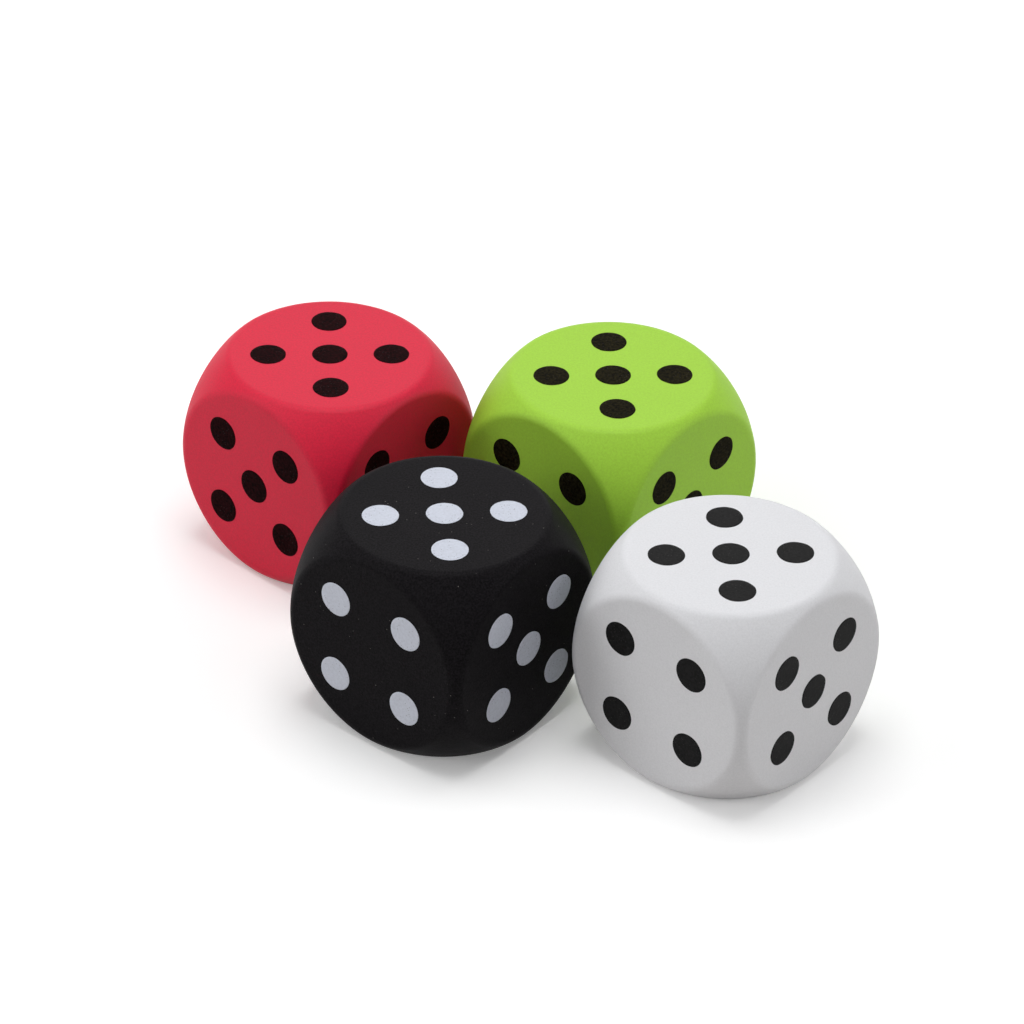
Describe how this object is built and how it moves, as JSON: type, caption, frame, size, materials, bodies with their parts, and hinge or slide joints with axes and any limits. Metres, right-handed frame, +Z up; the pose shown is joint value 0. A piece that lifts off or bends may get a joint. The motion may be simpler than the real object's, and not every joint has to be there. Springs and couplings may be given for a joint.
{
  "type": "giant yard dice",
  "caption": "Set of giant soft foam yard dice: cubes blended into balls, with round flat faces and pips printed flush in a rubbery skin, standing loose on the ground.",
  "frame": {"origin": "on the ground, under the middle of the whole set's box", "axes": "+Z up; +Y from the two front dice to the two back dice; +X to the right as seen from the front, along the set's longest extent"},
  "size_m": [0.5116, 0.465, 0.16],
  "materials": {
    "black_skin": "matte",
    "red_skin": "matte",
    "green_skin": "matte",
    "white_skin": "matte",
    "foam": "matte",
    "white_ink": "matte",
    "black_ink": "matte"
  },
  "bodies": {
    "black_die": {"black_foam_core": "foam", "black_skin": "black_skin", "black_top_pips": "white_ink", "black_bottom_pips": "white_ink", "black_front_left_pips": "white_ink", "black_front_right_pips": "white_ink", "black_rear_left_pips": "white_ink", "black_rear_right_pips": "white_ink"},
    "red_die": {"red_foam_core": "foam", "red_skin": "red_skin", "red_top_pips": "black_ink", "red_bottom_pips": "black_ink", "red_front_left_pips": "black_ink", "red_front_right_pips": "black_ink", "red_rear_left_pips": "black_ink", "red_rear_right_pips": "black_ink"},
    "green_die": {"green_foam_core": "foam", "green_skin": "green_skin", "green_top_pips": "black_ink", "green_bottom_pips": "black_ink", "green_front_left_pips": "black_ink", "green_front_right_pips": "black_ink", "green_rear_left_pips": "black_ink", "green_rear_right_pips": "black_ink"},
    "white_die": {"white_foam_core": "foam", "white_skin": "white_skin", "white_top_pips": "black_ink", "white_bottom_pips": "black_ink", "white_front_left_pips": "black_ink", "white_front_right_pips": "black_ink", "white_rear_left_pips": "black_ink", "white_rear_right_pips": "black_ink"}
  },
  "joints": [
    {"name": "red_lift", "type": "slide", "parent": "black_die", "child": "red_die", "axis": [0, 0, 1], "range_m": [0, 0.3]},
    {"name": "green_lift", "type": "slide", "parent": "black_die", "child": "green_die", "axis": [0, 0, 1], "range_m": [0, 0.3]},
    {"name": "white_lift", "type": "slide", "parent": "black_die", "child": "white_die", "axis": [0, 0, 1], "range_m": [0, 0.3]}
  ]
}
